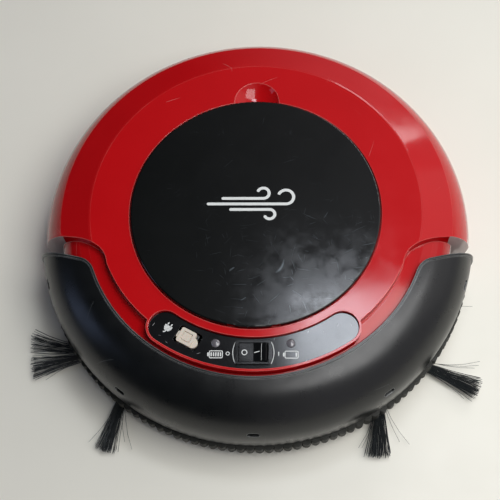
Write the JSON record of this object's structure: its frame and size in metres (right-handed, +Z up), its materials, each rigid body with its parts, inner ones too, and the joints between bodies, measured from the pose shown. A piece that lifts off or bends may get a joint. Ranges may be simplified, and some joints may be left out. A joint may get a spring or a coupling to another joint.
{
  "type": "robot vacuum",
  "caption": "Round robot vacuum with sprung front bumper, side brushes, sprung drive wheels, rocker switch and a hinged lid over its dust bin.",
  "frame": {"origin": "on the floor under the centre of the round body", "axes": "+Z up, +X to the robot's left when it drives towards -Y, front bumper towards -Y"},
  "size_m": [0.2838, 0.276, 0.0718],
  "materials": {
    "red_shell": "high-gloss red ABS with fine scratches",
    "black_base": "fine moulded texture",
    "black_satin": "satin black ABS, soft sheen",
    "black_gloss": "polished piano-black acrylic",
    "strip_rubber": "moulded ribbed rubber",
    "tyre_rubber": "treaded rubber",
    "bristle_nylon": "extruded nylon bristles",
    "ivory_plastic": "matt ivory ABS",
    "lamp_lens": "smoked clear acrylic",
    "sensor_window": "infrared-pass black acrylic",
    "bin_clear": "smoked translucent plastic",
    "filter_paper": "pleated filter paper",
    "steel": "turned and zinc-plated steel",
    "brass_gear": "hobbed brass",
    "gear_nylon": "moulded white acetal",
    "board_green": "solder-masked glass fibre",
    "cell_sleeve": "shrink sleeve",
    "grey_plastic": "moulded grey ABS"
  },
  "bodies": {
    "base": {"top_shell": "red_shell", "chassis": "black_base", "battery_cover": "black_base", "battery_cells": "cell_sleeve", "chassis_screws": "steel", "cliff_sensor_windows": "sensor_window", "inlet_squeegee": "strip_rubber", "dust_bin": "bin_clear", "bin_cover": "grey_plastic", "filter_frame": "grey_plastic", "filter_pleats": "filter_paper", "fan_housing": "grey_plastic", "fan_motor": "steel", "control_panel": "black_gloss", "led_lenses": "lamp_lens", "rocker_housing": "black_satin", "charging_socket": "black_satin", "charging_pin": "steel", "main_board": "board_green", "bumper_switches": "black_satin", "bumper_springs": "steel", "suspension_pins": "steel", "suspension_springs": "steel", "lid_hinge_pin": "steel", "left_brush_gear_motor": "grey_plastic", "right_brush_gear_motor": "grey_plastic"},
    "bumper": {"bumper": "black_satin", "bumper_strip": "strip_rubber", "bumper_sensor_windows": "sensor_window"},
    "lid": {"lid": "black_gloss"},
    "rocker": {"rocker_paddle": "black_satin"},
    "dust_plug": {"socket_dust_plug": "ivory_plastic"},
    "fan_impeller": {"fan_impeller": "gear_nylon"},
    "caster_fork": {"caster_fork": "black_base"},
    "caster_wheel": {"caster_wheel": "gear_nylon", "caster_axle": "steel"},
    "left_swing_arm": {"left_gear_case": "black_base", "left_gear_case_cover": "black_base", "left_drive_motor": "steel"},
    "left_wheel": {"left_wheel_rim": "black_base", "left_tyre": "tyre_rubber", "left_wheel_axle": "steel", "left_output_gear": "gear_nylon"},
    "left_pinion": {"left_motor_pinion": "brass_gear"},
    "left_side_brush": {"left_brush_hub": "black_base", "left_brush_bristles": "bristle_nylon", "left_brush_shaft": "steel", "left_brush_screw": "steel"},
    "right_swing_arm": {"right_gear_case": "black_base", "right_gear_case_cover": "black_base", "right_drive_motor": "steel"},
    "right_wheel": {"right_wheel_rim": "black_base", "right_tyre": "tyre_rubber", "right_wheel_axle": "steel", "right_output_gear": "gear_nylon"},
    "right_pinion": {"right_motor_pinion": "brass_gear"},
    "right_side_brush": {"right_brush_hub": "black_base", "right_brush_bristles": "bristle_nylon", "right_brush_shaft": "steel", "right_brush_screw": "steel"}
  },
  "joints": [
    {"name": "bumper_press", "type": "slide", "parent": "base", "child": "bumper", "axis": [0, 1, 0], "range_m": [0, 0.0015], "stiffness_N_per_m": 120, "springref_m": -0.003},
    {"name": "lid_hinge", "type": "hinge", "parent": "base", "child": "lid", "pos_m": [0, -0.0765, 0.0704], "axis": [1, 0, 0], "range_deg": [0, 80]},
    {"name": "rocker_tilt", "type": "hinge", "parent": "base", "child": "rocker", "pos_m": [0.0002, -0.0942, 0.0666], "axis": [0, 1, 0], "range_deg": [0, 16]},
    {"name": "dust_plug_lift", "type": "slide", "parent": "base", "child": "dust_plug", "axis": [0, 0, 1], "range_m": [0, 0.012]},
    {"name": "impeller_spin", "type": "hinge", "parent": "base", "child": "fan_impeller", "pos_m": [0, 0.052, 0.036], "axis": [0, 1, 0], "continuous": true},
    {"name": "caster_swivel", "type": "hinge", "parent": "base", "child": "caster_fork", "pos_m": [0, -0.108, 0.017], "axis": [0, 0, 1], "continuous": true},
    {"name": "caster_roll", "type": "hinge", "parent": "caster_fork", "child": "caster_wheel", "pos_m": [0, -0.1045, 0.008], "axis": [1, 0, 0], "continuous": true},
    {"name": "left_suspension", "type": "hinge", "parent": "base", "child": "left_swing_arm", "pos_m": [-0.075, -0.004, 0.024], "axis": [1, 0, 0], "range_deg": [-11, 0], "stiffness_Nm_per_rad": 0.15, "springref_deg": -22.92},
    {"name": "left_wheel_spin", "type": "hinge", "parent": "left_swing_arm", "child": "left_wheel", "pos_m": [-0.097, 0.027, 0.027], "axis": [1, 0, 0], "continuous": true},
    {"name": "left_pinion_spin", "type": "hinge", "parent": "left_swing_arm", "child": "left_pinion", "pos_m": [-0.076, 0.009, 0.027], "axis": [1, 0, 0], "continuous": true},
    {"name": "left_brush_spin", "type": "hinge", "parent": "base", "child": "left_side_brush", "pos_m": [-0.0745, -0.068, 0.006], "axis": [0, 0, 1], "continuous": true},
    {"name": "right_suspension", "type": "hinge", "parent": "base", "child": "right_swing_arm", "pos_m": [0.075, -0.004, 0.024], "axis": [1, 0, 0], "range_deg": [-11, 0], "stiffness_Nm_per_rad": 0.15, "springref_deg": -22.92},
    {"name": "right_wheel_spin", "type": "hinge", "parent": "right_swing_arm", "child": "right_wheel", "pos_m": [0.097, 0.027, 0.027], "axis": [1, 0, 0], "continuous": true},
    {"name": "right_pinion_spin", "type": "hinge", "parent": "right_swing_arm", "child": "right_pinion", "pos_m": [0.076, 0.009, 0.027], "axis": [1, 0, 0], "continuous": true},
    {"name": "right_brush_spin", "type": "hinge", "parent": "base", "child": "right_side_brush", "pos_m": [0.0745, -0.068, 0.006], "axis": [0, 0, 1], "continuous": true}
  ],
  "couplings": [
    {"joint": "left_pinion_spin", "follows": "left_wheel_spin", "ratio": -4},
    {"joint": "right_pinion_spin", "follows": "right_wheel_spin", "ratio": -4}
  ]
}
